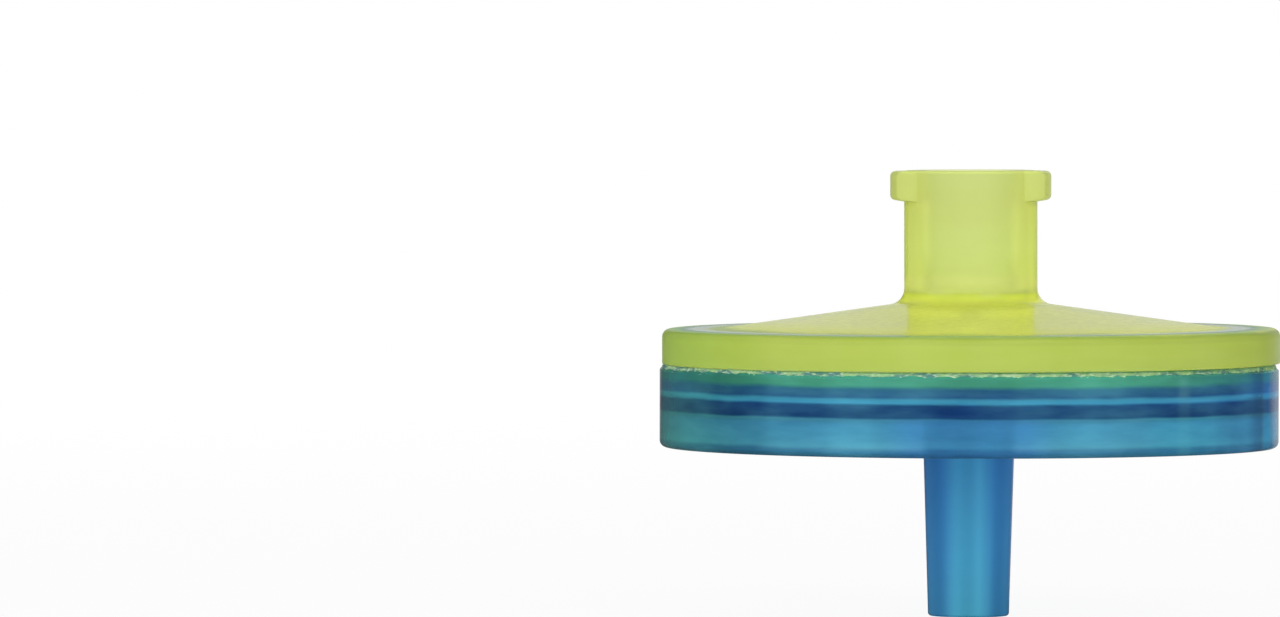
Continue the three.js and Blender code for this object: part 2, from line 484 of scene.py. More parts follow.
class Graph:
    """A node tree under construction, with one line per node."""

    def __init__(self, tree: bpy.types.NodeTree) -> None:
        """Clears the tree, to fill it anew."""
        self.tree = tree
        tree.nodes.clear()

    @classmethod
    def of_material(cls, name: str) -> tuple[bpy.types.Material, "Graph", Socket]:
        """Starts a material.

        Args:
            name: Name of the material.

        Returns:
            The material, its empty graph and the piece's own coordinates.
        """
        material = bpy.data.materials.new(name)
        material.use_nodes = True
        graph = cls(material.node_tree)
        return material, graph, graph.place()

    def add(
        self,
        kind: str,
        inputs: dict[str | int, object] | None = None,
        **settings: object,
    ) -> bpy.types.Node:
        """Adds a node.

        Args:
            kind: Blender's name of the node type.
            inputs: A value or a socket to link for each input, by name or number.
            settings: Attributes of the node.

        Returns:
            The new node.
        """
        node = self.tree.nodes.new(kind)
        for key, value in settings.items():
            setattr(node, key, value)
        for key, value in (inputs or {}).items():
            if isinstance(value, Socket):
                self.tree.links.new(value, node.inputs[key])
            else:
                node.inputs[key].default_value = value
        return node

    def place(self) -> Socket:
        """Adds the piece's own coordinates."""
        return self.add("ShaderNodeTexCoord").outputs["Object"]

    def axes(self, vector: Socket) -> bpy.types.NodeOutputs:
        """Adds a vector's X, Y and Z, one by one."""
        return self.add("ShaderNodeSeparateXYZ", {0: vector}).outputs

    def scaled(self, vector: Socket, scale: Place) -> Socket:
        """Adds a vector drawn out along its axes."""
        return self.add("ShaderNodeMapping", {"Vector": vector, "Scale": scale}).outputs[0]

    def math(self, operation: str, *values: object) -> Socket:
        """Adds a Math node of an operation on numbers or sockets."""
        return self.add("ShaderNodeMath", dict(enumerate(values)), operation=operation).outputs[0]

    def vector(self, operation: str, *values: object) -> Socket:
        """Adds a Vector Math node, whose result is a number for a length or a dot product."""
        node = self.add("ShaderNodeVectorMath", dict(enumerate(values)), operation=operation)
        return node.outputs["Value" if operation in ("LENGTH", "DOT_PRODUCT") else "Vector"]

    def flat(self, vector: Socket) -> Socket:
        """Adds a vector laid flat, so that its Z is 0."""
        return self.vector("MULTIPLY", vector, (1, 1, 0))

    def noise(self, vector: Socket, size: float, detail: float = 2.0) -> Socket:
        """Adds a noise, about 0.5 on average, with grains of a size and a number of finer layers."""
        inputs = {"Vector": vector, "Scale": 1 / size, "Detail": detail}
        return self.add("ShaderNodeTexNoise", inputs).outputs["Fac"]

    def waver(self, vector: Socket, size: float, amount: float, detail: float = 2.0) -> Socket:
        """Adds a noise that wavers about zero by an amount."""
        return self.span(self.noise(vector, size, detail), NOISE_RANGE, (-amount, amount))

    def span(self, value: Socket, source: Span, target: Span, curve: Curve = Curve.STRAIGHT) -> Socket:
        """Maps one range of a value onto another.

        Args:
            value: The value to map.
            source: Its range.
            target: The range wanted.
            curve: How the one follows the other.

        Returns:
            The mapped value's socket.
        """
        inputs = {"Value": value}
        for name, (low, high) in (("From", source), ("To", target)):
            inputs |= {f"{name} Min": low, f"{name} Max": high}
        return self.add("ShaderNodeMapRange", inputs, interpolation_type=curve.value).outputs["Result"]

    def share(self, edges: tuple[Edge, ...], spots: dict[Along, Socket], strength: float = 1.0) -> Socket:
        """Adds the share of a region with soft edges.

        Args:
            edges: The edges.
            spots: What they can be measured along.
            strength: The share where the region is full.

        Returns:
            The share's socket.
        """
        share = strength
        for edge in edges:
            part = self.span(spots[edge.along], (edge.none, edge.full), (0, 1), edge.curve)
            share = self.math("MULTIPLY", part, share)
        return share

    def ramp(self, value: Socket, bands: tuple[Band, ...]) -> bpy.types.NodeOutputs:
        """Adds a ramp of bands over a level or a radius.

        Args:
            value: The level or radius, in metres.
            bands: Shade and clarity at each one, from the lowest.

        Returns:
            The ramp's outputs: Color, and Alpha for the clarity.
        """
        low, high = bands[0].level, bands[-1].level
        node = self.add("ShaderNodeValToRGB", {"Fac": self.span(value, (low, high), (0, 1))})
        elements = node.color_ramp.elements
        for index, band in enumerate(bands):
            place = (band.level - low) / (high - low)
            element = elements[index] if index < 2 else elements.new(place)
            element.position = place
            element.color = (*band.colour, band.clarity)
        return node.outputs

    def mix(self, factor: object, first: object, second: object) -> Socket:
        """Mixes two numbers, by the share of the second one."""
        return self.add("ShaderNodeMix", {0: factor, 2: first, 3: second}, data_type="FLOAT").outputs[0]

    def blend(self, factor: object, first: object, second: object, kind: Blend = Blend.MIX) -> Socket:
        """Mixes or multiplies two colours.

        Args:
            factor: Share of the second one.
            first: A colour or a socket.
            second: A colour or a socket.
            kind: How the second one acts.

        Returns:
            The new colour's socket.
        """
        lower, upper = ((*c, 1) if isinstance(c, tuple) else c for c in (first, second))
        inputs = {0: factor, 6: lower, 7: upper}
        return self.add("ShaderNodeMix", inputs, data_type="RGBA", blend_type=kind.value).outputs[2]

    def bump(self, height: Socket, distance: float, strength: float) -> Socket:
        """Adds the normal of a relief with a depth in metres and a strength."""
        inputs = {"Height": height, "Distance": distance, "Strength": strength}
        return self.add("ShaderNodeBump", inputs).outputs["Normal"]

    def surface(self, inputs: dict[str, object], volume: Socket | None = None) -> None:
        """Ends a material with its surface.

        Args:
            inputs: Inputs of the shader, by name.
            volume: What fills the body, if anything.
        """
        shader = self.add("ShaderNodeBsdfPrincipled", inputs).outputs["BSDF"]
        ends = {"Surface": shader} | ({"Volume": volume} if volume is not None else {})
        self.add("ShaderNodeOutputMaterial", ends)


# ---------------- finishes


@dataclass(frozen=True)
class Polypropylene:
    """Translucent moulded polypropylene: a milky skin over a clear body that takes light away.

    Args:
        name: Name of the material.
        bands: Shade and clarity of the skin by level, from the lowest.
        body: Colour of the inner faces.
        body_clarity: Share of the light that passes an inner face.
        absorbed: Light taken from red, green and blue, per metre of plastic.
        roughness: Mean roughness of the skin.
        body_roughness: Roughness of the inner faces.
        shine: Strength of the smooth outer gloss.
        polished: Soft edges of the part that has this gloss.
        regions: Parts of the skin with a tint or a shade painted on them, some of their own colour and most
            of them painted light and shade.
        gloss: Tint of the reflection.
        mist: Colour of the paler flow marks.
        streaks: Share of the mist in the palest marks.
        contrast: How far the flow marks lighten and darken the skin.
        spokes: Number of flow marks round the axis.
        spoke_gain: Strength of these marks against the random ones.
        wisps: Strength of the flat wisps against the random ones.
        stem_top: Level whose shade the stem keeps above it, where the disc hides its root.
        collar: Shade by radius of the flat on top where the piece lies on the other one; its
            clarity is the shade's share.
        collar_levels: Levels between which this shade sets in.
        ior: Index of refraction.
        shine_roughness: Roughness of the outer gloss.
        shine_ior: Index of refraction of the outer gloss.
    """

    name: str
    bands: tuple[Band, ...]
    body: Colour
    body_clarity: float
    absorbed: Colour
    roughness: float
    body_roughness: float
    shine: float
    polished: tuple[Edge, ...]
    regions: tuple[Region, ...]
    gloss: Colour = (1, 1, 1)
    mist: Colour = (0.9, 0.95, 0.7)
    streaks: float = 0.05
    contrast: float = 0.02
    spokes: int = 8
    spoke_gain: float = 0.0
    wisps: float = 0.1
    stem_top: float = 1.0
    collar: tuple[Band, ...] = ()
    collar_levels: Span = (0, 1)
    ior: float = 1.2
    shine_roughness: float = 0.12
    shine_ior: float = 1.45

    def marks(self, graph: Graph, place: Socket) -> Socket:
        """Adds the flow marks: upright clouds, evenly spread spokes and low flat wisps.

        Args:
            graph: The graph to add to.
            place: The piece's own coordinates.

        Returns:
            The marks, from 0 where darkest to 1 where palest.
        """
        above_tip = (8.2 * MM, 8.4 * MM)
        tip_share = 0.1
        axes = graph.axes(place)
        bearing = graph.math("ARCTAN2", axes["X"], axes["Y"])
        wave = graph.math("COSINE", graph.math("MULTIPLY_ADD", bearing, self.spokes, math.pi))
        clouds = graph.noise(graph.scaled(place, (1, 1, 0.12)), size=3.5 * MM)
        cloud = graph.math("MULTIPLY_ADD", wave, self.spoke_gain, clouds)
        low = graph.scaled(place, (0.45, 0.45, 2.2))
        wisp = graph.waver(low, size=1.4 * MM, amount=self.wisps, detail=3)
        disc = graph.span(axes["Z"], above_tip, (tip_share, 1))
        return graph.span(graph.math("MULTIPLY_ADD", wisp, disc, cloud), (0.25, 0.75), (0, 1))

    def skin(
        self, graph: Graph, place: Socket, spots: dict[Along, Socket], marks: Socket
    ) -> tuple[Socket, Socket, object]:
        """Adds the skin's shade: its bands, the pale marks, the regions and the collar.

        Args:
            graph: The graph to add to.
            place: The piece's own coordinates.
            spots: What edges are measured along.
            marks: The flow marks.

        Returns:
            The skin's colour, its clarity and the strength of the collar's gloss.
        """
        stem_side = (2.9 * MM, 3.0 * MM)
        wander = graph.waver(place, size=3 * MM, amount=0.03 * MM)
        level = graph.math("ADD", spots[Along.LEVEL], wander)
        ceiling = graph.span(spots[Along.RADIUS], stem_side, (self.stem_top, 1.0))
        bands = graph.ramp(graph.math("MINIMUM", level, ceiling), self.bands)
        clear = bands["Alpha"]
        colour = graph.blend(graph.math("MULTIPLY", marks, self.streaks), bands["Color"], self.mist)
        for region in self.regions:
            share = graph.share(region.edges, spots, region.strength)
            colour = graph.blend(share, colour, region.colour, region.blend)
        if not self.collar:
            return colour, clear, 0.0
        wander = graph.waver(place, size=2.5 * MM, amount=0.15 * MM, detail=3)
        ring = graph.ramp(graph.math("ADD", spots[Along.RADIUS], wander), self.collar)
        on_top = graph.span(spots[Along.LEVEL], self.collar_levels, (0, 1))
        share = graph.math("MULTIPLY", ring["Alpha"], on_top)
        colour = graph.blend(share, colour, ring["Color"])
        clear = graph.math("MULTIPLY", clear, graph.math("SUBTRACT", 1.0, share))
        gloss = graph.share((Along.RADIUS.even(14.1, 13.5),), spots, strength=0.9)
        return colour, clear, graph.math("MULTIPLY", share, gloss)

    def build(self) -> bpy.types.Material:
        """Builds the material.

        Returns:
            The new material.
        """
        material, graph, place = Graph.of_material(self.name)
        axes = graph.axes(place)
        spots = {
            Along.X: axes["X"],
            Along.ASIDE: graph.math("ABSOLUTE", axes["X"]),
            Along.LEVEL: axes["Z"],
            Along.RADIUS: graph.vector("LENGTH", graph.flat(place)),
        }
        outside = graph.add("ShaderNodeAttribute", attribute_name=SKIN).outputs["Fac"]
        speckle = graph.noise(place, size=0.35 * MM, detail=3)
        marks = self.marks(graph, place)
        skin, clear, collar_gloss = self.skin(graph, place, spots, marks)
        shade = graph.span(marks, (0, 1), (1 - self.contrast, 1 + self.contrast))
        shaded = {"Value": shade, "Color": graph.blend(outside, self.body, skin)}
        inside = graph.add("ShaderNodeNewGeometry").outputs["Backfacing"]
        clarity = graph.mix(outside, self.body_clarity, clear)
        bump = graph.bump(speckle, distance=0.01 * MM, strength=0.06)
        rough = graph.span(speckle, NOISE_RANGE, (self.roughness - 0.015, self.roughness + 0.02))
        worn = graph.span(speckle, (0.35, 0.65), (0.7 * self.shine, self.shine))
        polish = graph.math("MULTIPLY", worn, graph.share(self.polished, spots))
        shine = graph.math("MAXIMUM", polish, collar_gloss)
        density = max(self.absorbed)
        left = (*(1 - taken / density for taken in self.absorbed), 1)
        volume = graph.add("ShaderNodeVolumeAbsorption", {"Color": left, "Density": density})
        graph.surface(
            {
                "Base Color": graph.add("ShaderNodeHueSaturation", shaded).outputs["Color"],
                "Roughness": graph.mix(outside, self.body_roughness, rough),
                "Normal": bump,
                "IOR": self.ior,
                "Specular Tint": (*self.gloss, 1),
                "Transmission Weight": graph.math("MAXIMUM", clarity, inside),
                "Coat Weight": graph.math("MULTIPLY", outside, shine),
                "Coat Roughness": self.shine_roughness,
                "Coat IOR": self.shine_ior,
                "Coat Normal": bump,
            },
            volume.outputs["Volume"],
        )
        return material


@dataclass(frozen=True)
class PorousFilm:
    """White, matt, porous membrane."""

    name: str = "membrane_film"
    colour: Colour = (0.86, 0.86, 0.83)
    pore_colour: Colour = (0.70, 0.71, 0.69)
    pore_size: float = 0.12 * MM
    pore_depth: float = 0.01 * MM

    def build(self) -> bpy.types.Material:
        """Builds the material.

        Returns:
            The new material.
        """
        material, graph, place = Graph.of_material(self.name)
        pores = graph.noise(place, self.pore_size, detail=4)
        share = graph.span(pores, (0.35, 0.65), (0, 0.12))
        graph.surface(
            {
                "Base Color": graph.blend(share, self.colour, self.pore_colour),
                "Roughness": 0.9,
                "Normal": graph.bump(pores, self.pore_depth, strength=0.8),
            }
        )
        return material


@dataclass(frozen=True)
class Melt:
    """Rough melt of both plastics, pale where it is torn and dark in its pits.

    Args:
        seam: Level under which the melt lies, with a painted shadow where it meets the rim.
        name: Name of the material.
        pit: Colour of the pits.
        mixed: Colour of the mixed melt.
        torn: Colour of the torn crumbs.
        clump_size: Size of the clumps of mixed melt.
        crumb_size: Size of the torn crumbs.
        crumb_depth: Depth of the crumbs' relief.
        ragged: How far the gap's edge follows the clumps.
        gap_shade: Heights above the seam between which the painted shade under the rim sets in.
    """

    seam: float
    name: str = "weld_melt"
    pit: Colour = (0.04, 0.20, 0.24)
    mixed: Colour = (0.34, 0.58, 0.26)
    torn: Colour = (0.53, 0.71, 0.46)
    clump_size: float = 1.1 * MM
    crumb_size: float = 0.3 * MM
    crumb_depth: float = 0.05 * MM
    ragged: float = 0.25 * MM
    gap_shade: Span = (0.06 * MM, 0.09 * MM)

    def build(self) -> bpy.types.Material:
        """Builds the material.

        Returns:
            The new material.
        """
        material, graph, place = Graph.of_material(self.name)
        squat = graph.scaled(place, (1, 1, 3))
        clumps = graph.noise(squat, self.clump_size, detail=3)
        crumbs = graph.noise(squat, self.crumb_size, detail=3)
        level = graph.math("MULTIPLY_ADD", clumps, self.ragged, graph.axes(place)["Z"])
        # Painted shade: melt that rises above the seam, under the rim, is darkened half way to the pit
        # colour.
        gap_shade = graph.span(level, tuple(self.seam + height for height in self.gap_shade), (0, 0.5))
        colour = graph.blend(graph.span(clumps, (0.42, 0.58), (0.15, 1)), self.pit, self.mixed)
        colour = graph.blend(graph.span(crumbs, (0.50, 0.66), (0, 1)), colour, self.torn)
        graph.surface(
            {
                "Base Color": graph.blend(gap_shade, colour, self.pit),
                "Roughness": graph.span(crumbs, NOISE_RANGE, (0.35, 0.75)),
                "Normal": graph.bump(crumbs, self.crumb_depth, strength=0.7),
                "IOR": 1.45,
            }
        )
        return material


# Edge of the -X end, where a greenish bounce light is painted on both housings.
PAINTED_BOUNCE_END = Along.X.eased(-8.5, -14.8)
SKIRT_LEVELS = (Along.LEVEL.even(8.2, 8.3), Along.LEVEL.even(10.11, 10.06))
# Pale blue of the flow marks, also used for the painted highlight of the upright line.
BLUE_MIST_AND_HIGHLIGHT = (0.19, 0.68, 0.68)

LIME = Polypropylene(
    name="lime_polypropylene",
    bands=(
        Band(12.3 * MM, (0.50, 0.63, 0.11), 0.12),
        Band(13.54 * MM, (0.49, 0.62, 0.10), 0.12),
        # Painted shade: the bands from 13.70 to 13.93 mm darken the rounded top edge of the rim's side.
        Band(13.70 * MM, (0.45, 0.57, 0.09), 0.08),
        Band(13.84 * MM, (0.44, 0.56, 0.08), 0.08),
        Band(13.93 * MM, (0.38, 0.50, 0.07), 0.10),
        Band(14.00 * MM, (0.40, 0.54, 0.10), 0.30),
        Band(14.10 * MM, (0.94, 1.0, 0.17), 0.40),
        Band(15.4 * MM, (0.84, 0.91, 0.13), 0.40),
        Band(15.72 * MM, (0.76, 0.87, 0.12), 0.38),
        Band(15.90 * MM, (0.80, 0.89, 0.27), 0.36),
        Band(16.30 * MM, (0.73, 0.80, 0.30), 0.46),
        Band(16.90 * MM, (0.66, 0.76, 0.34), 0.72),
        Band(18.00 * MM, (0.66, 0.76, 0.36), 0.72),
        Band(20.10 * MM, (0.62, 0.69, 0.31), 0.68),
        Band(21.58 * MM, (0.62, 0.70, 0.33), 0.68),
        Band(21.68 * MM, (0.74, 0.83, 0.26), 0.35),
    ),
    body=(0.95, 0.98, 0.82),
    body_clarity=0.90,
    absorbed=(2, 0, 250),
    roughness=0.30,
    body_roughness=0.30,
    shine=0.62,
    polished=(Along.LEVEL.even(14.05, 14.40), Along.LEVEL.even(16.2, 15.8)),
    regions=(
        # Painted greenish bounce light at the -X end.
        Region.tint((0.88, 1.0, 0.88), PAINTED_BOUNCE_END),
        # Painted light: the socket and its lugs lighter on their two sides, towards ±X.
        Region.tint(
            (1.35, 1.33, 1.1),
            Along.ASIDE.eased(2.7, 3.25),
            Along.LEVEL.even(15.3, 15.4),
            Along.LEVEL.even(20.15, 19.95),
        ),
    ),
    collar=(
        Band(12.45 * MM, (0.50, 0.70, 0.13), 0.0),
        Band(13.00 * MM, (0.09, 0.33, 0.14), 0.88),
        Band(13.95 * MM, (0.06, 0.27, 0.16), 0.95),
        Band(14.25 * MM, (0.19, 0.46, 0.15), 0.88),
        Band(14.80 * MM, (0.34, 0.54, 0.12), 0.70),
        Band(15.00 * MM, (0.36, 0.50, 0.09), 0.0),
    ),
    collar_levels=(13.90 * MM, 13.97 * MM),
)

BLUE = Polypropylene(
    name="blue_polypropylene",
    bands=(
        Band(0.00 * MM, (0.086, 0.43, 0.60), 0.08),
        Band(3.00 * MM, (0.090, 0.46, 0.72), 0.08),
        Band(7.90 * MM, (0.096, 0.46, 0.80), 0.08),
        # Painted shade: the bands at 8.30 and 8.60 mm darken the skirt's rounded lower edge.
        Band(8.30 * MM, (0.036, 0.18, 0.30), 0.35),
        Band(8.60 * MM, (0.036, 0.19, 0.32), 0.35),
        Band(8.78 * MM, (0.085, 0.42, 0.52), 0.46),
        Band(9.10 * MM, (0.074, 0.37, 0.49), 0.46),
        Band(10.06 * MM, (0.062, 0.32, 0.48), 0.46),
        Band(10.14 * MM, (0.010, 0.066, 0.23), 0.35),
        Band(10.74 * MM, (0.010, 0.066, 0.23), 0.35),
        Band(10.87 * MM, (0.084, 0.54, 0.80), 0.58),
        Band(10.98 * MM, (0.084, 0.54, 0.80), 0.58),
        Band(11.12 * MM, (0.016, 0.092, 0.33), 0.35),
        Band(11.50 * MM, (0.022, 0.13, 0.33), 0.35),
        Band(11.70 * MM, (0.072, 0.42, 0.29), 0.36),
        Band(12.40 * MM, (0.072, 0.41, 0.28), 0.36),
    ),
    body=(0.95, 0.97, 0.98),
    body_clarity=1.0,
    absorbed=(250, 220, 60),
    roughness=0.24,
    body_roughness=0.10,
    shine=0.22,
    polished=(Along.LEVEL.even(8.1, 8.45),),
    regions=(
        # Painted greenish bounce light at the -X end.
        Region.tint((0.78, 0.92, 0.62), PAINTED_BOUNCE_END),
        # Painted shade and painted light where the cup's wall is seen edge-on towards +X: a dark upright
        # band, and the wall beyond it brighter and bluer.
        Region.shade((0.0, 0.05, 0.16), 0.42, Along.X.eased(13.3, 13.9), Along.X.eased(14.3, 14.05)),
        Region.tint((0.55, 1.2, 1.4), Along.X.eased(14.15, 14.4)),
        # Painted highlight: a pale upright line that stands in for a reflection of the strip lamp.
        Region.shade(BLUE_MIST_AND_HIGHLIGHT, 0.10, Along.X.eased(9.85, 10.2), Along.X.eased(10.75, 10.4)),
        # The skirt's middle, where the stem behind it shows through.
        Region.tint((0.95, 0.91, 1.14), Along.ASIDE.eased(4.6, 2.4), *SKIRT_LEVELS),
        # Painted light: the skirt lighter near the pale line.
        Region.tint((1.08, 1.24, 1.18), Along.X.even(8.2, 9.4), Along.X.even(12.6, 11.4), *SKIRT_LEVELS),
        # Painted shade: the cup's wall darker towards its two ends, where it is seen at a slant.
        Region.tint((0.55, 0.62, 0.95), Along.ASIDE.eased(8, 14), Along.LEVEL.even(11.45, 11.65)),
        # Painted shade: the tip darker on its two sides, where its round face turns away from the front.
        Region.tint((0.69, 0.66, 0.86), Along.ASIDE.eased(0.4, 1.35), Along.LEVEL.even(8.23, 8.03)),
    ),
    gloss=(0.25, 0.5, 0.8),
    mist=BLUE_MIST_AND_HIGHLIGHT,
    streaks=0.18,
    contrast=0.14,
    spoke_gain=0.16,
    wisps=0.16,
    stem_top=7.9 * MM,
)


# ---------------- inlet housing


@dataclass(frozen=True)
class InletHousing:
    """Lime moulding: rim, tongue, dome, boss with ports, ribs and the luer socket with its lugs."""

    gauge: Gauge
    finish: Polypropylene
    rim_height: float = 1.65 * MM
    rim_land: float = 2.8 * MM
    rim_edge: float = 0.38 * MM
    rim_inset: float = 0.025 * MM
    lip_width: float = 0.30 * MM
    lip_drop: float = 0.05 * MM
    lip_edge: float = 0.05 * MM
    tongue_inner: float = 12.35 * MM
    tongue_outer: float = 13.9 * MM
    tongue_draft: float = 0.12 * MM
    tongue_edge: float = 0.05 * MM
    tongue_corner: float = 0.12 * MM
    dome_slope: float = 0.141
    dome_wall: float = 1.1 * MM
    dome_foot: float = 0.6 * MM
    chamber_edge: float = 0.5 * MM
    boss: float = 3.15 * MM
    boss_root: float = 0.3 * MM
    flow_gap: float = 0.35 * MM
    rib_count: int = 4
    rib_width: float = 1.0 * MM
    rib_length: float = 7.65 * MM
    socket: float = 3.25 * MM
    socket_edge: float = 0.15 * MM
    socket_foot: float = 0.8 * MM
    bore: float = 2.15 * MM
    bore_depth: float = 6.1 * MM
    bore_taper: float = 0.03
    floor_edge: float = 0.45 * MM
    mouth_chamfer: float = 0.12 * MM
    mouth_edge: float = 0.04 * MM
    port_count: int = 4
    port_apex: float = 0.6 * MM
    port_margin: float = 0.26 * MM
    port_half_angle: float = math.radians(29)
    lug_reach: float = 0.68 * MM
    lug_width: float = 3.86 * MM
    lug_corner: float = 1.2 * MM
    lug_edge: float = 0.25 * MM
    lug_height: float = 1.5 * MM
    lug_drop: float = 0.03 * MM
    lug_undercut: float = 0.12 * MM
    weld_shift: float = 0.09 * MM
    weld_tilt: float = math.radians(0.19)
    skin_gap: float = 0.01 * MM

    def dome(self, radius: float) -> float:
        """Level of the dome's outer face at a radius."""
        foot = self.gauge.disc - self.rim_land
        return self.gauge.seam + self.rim_height + self.dome_slope * (foot - radius)

    def body(self) -> Piece:
        """Models rim, tongue, dome, boss and bored socket.

        Returns:
            The new object.
        """
        g = self.gauge
        rim = g.seam + self.rim_height
        rim_side = g.disc - self.rim_inset
        lip = g.disc - self.lip_width
        lip_level = g.seam - self.lip_drop
        lowest = g.membrane_top + g.hair
        flow = g.membrane_top + self.flow_gap
        floor = g.mouth - self.bore_depth
        floor_radius = self.bore - self.bore_taper * self.bore_depth
        outline = [
            Corner(self.boss, flow),
            Corner(self.boss, self.dome(self.boss) - self.dome_wall, self.boss_root),
            Corner(self.tongue_inner, self.dome(self.tongue_inner) - self.dome_wall, self.chamber_edge),
            Corner(self.tongue_inner, lowest, self.tongue_edge),
            Corner(self.tongue_outer - self.tongue_draft, lowest, self.tongue_corner),
            Corner(self.tongue_outer, g.seam + g.hair),
            Corner(lip, g.seam + g.hair),
            Corner(lip + self.lip_drop, lip_level),
            Corner(rim_side, lip_level, self.lip_edge),
            Corner(rim_side, rim, self.rim_edge),
            Corner(g.disc - self.rim_land, rim, self.dome_foot),
            Corner(self.socket, self.dome(self.socket), self.socket_foot),
            Corner(self.socket, g.mouth, self.socket_edge),
            Corner(self.bore + self.mouth_chamfer, g.mouth, self.mouth_edge),
            Corner(self.bore, g.mouth - self.mouth_chamfer, self.mouth_edge),
            Corner(floor_radius, floor, self.floor_edge),
            Corner(floor_radius - 1.5 * self.floor_edge, floor),
        ]
        return turn_piece("inlet_housing_shell", outline, closed=False)

    def lugs(self) -> Piece:
        """Models the two locking lugs: a flange trimmed to a bar with rounded corners.

        Returns:
            The new object.
        """
        top = self.gauge.mouth - self.lug_drop
        bottom = top - self.lug_height
        reach = self.socket + self.lug_reach
        core = (self.socket + self.bore) / 2
        outline = [
            Corner(core, bottom),
            Corner(self.socket, bottom),
            Corner(reach, bottom + self.lug_undercut, self.lug_edge),
            Corner(reach, top, self.lug_edge),
            Corner(core, top),
        ]
        flange = turn_piece("lug_flange", outline, closed=True)
        half = self.lug_width / 2
        bar = block("lug_bar", (-reach, -half, bottom - MM), (reach, half, top + MM))
        pick(bar, Select.EDGE, lambda one, other: abs(one.z - other.z) > half)
        bpy.ops.mesh.bevel(offset=self.lug_corner, segments=10, affect="EDGES")
        bpy.ops.object.mode_set(mode="OBJECT")
        combine(flange, bar, Combine.INTERSECT)
        return flange

    def ribs(self) -> Piece:
        """Models the ribs that run out from the boss under the dome.

        Returns:
            The new object.
        """
        flow = self.gauge.membrane_top + self.flow_gap
        start = self.boss / 2
        end = self.boss + self.rib_length
        top = self.dome(end) - self.dome_wall / 2
        rib = block("rib", (start, -self.rib_width / 2, flow), (end, self.rib_width / 2, top))
        pick(rib, Select.VERT, lambda place: place.z > flow + MM and place.x < start + MM)
        bpy.ops.transform.translate(value=(0, 0, self.dome(start) - self.dome(end)))
        bpy.ops.object.mode_set(mode="OBJECT")
        return ring_copies(rib, self.rib_count)

    def ports(self) -> Piece:
        """Models the cutters of the triangular ports in the socket's floor.

        Returns:
            The new object.
        """
        floor = self.gauge.mouth - self.bore_depth
        flow = self.gauge.membrane_top + self.flow_gap
        corner = self.bore - self.bore_taper * self.bore_depth - self.port_margin
        base = corner * math.cos(self.port_half_angle)
        half = corner * math.sin(self.port_half_angle)
        cutter = block("port", (self.port_apex, -half, flow - MM), (base, half, floor + MM))
        pick(cutter, Select.VERT, lambda place: place.x < (self.port_apex + base) / 2)
        bpy.ops.transform.resize(value=(1, 0, 1), center_override=(self.port_apex, 0, 0))
        merge_doubles(1e-6)
        return ring_copies(cutter, self.port_count)

    def is_skin(self, radius: float, level: float) -> bool:
        """Tests whether a face is on the outside and above the seam.

        Args:
            radius: The face's radius.
            level: The face's level.

        Returns:
            Whether it is skin.
        """
        wall = (self.socket + self.bore) / 2
        over_dome = level > self.dome(radius) - self.dome_wall / 2
        above = level > self.gauge.seam + self.skin_gap
        return above and radius > wall and (radius > self.tongue_outer or over_dome)

    def build(self) -> Piece:
        """Models and dresses the whole moulding.

        Returns:
            The finished piece.
        """
        piece = self.body()
        combine(piece, self.lugs(), Combine.UNION)
        combine(piece, self.ribs(), Combine.UNION)
        combine(piece, self.ports(), Combine.DIFFERENCE)
        smooth(piece)
        mark_skin(piece, self.is_skin)
        askew(piece, Vector((-self.gauge.disc, 0, self.gauge.seam)), self.weld_tilt, self.weld_shift)
        paint(piece, self.finish.build())
        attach(piece, "root")
        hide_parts("inlet_housing")
        return piece


# ---------------- outlet housing


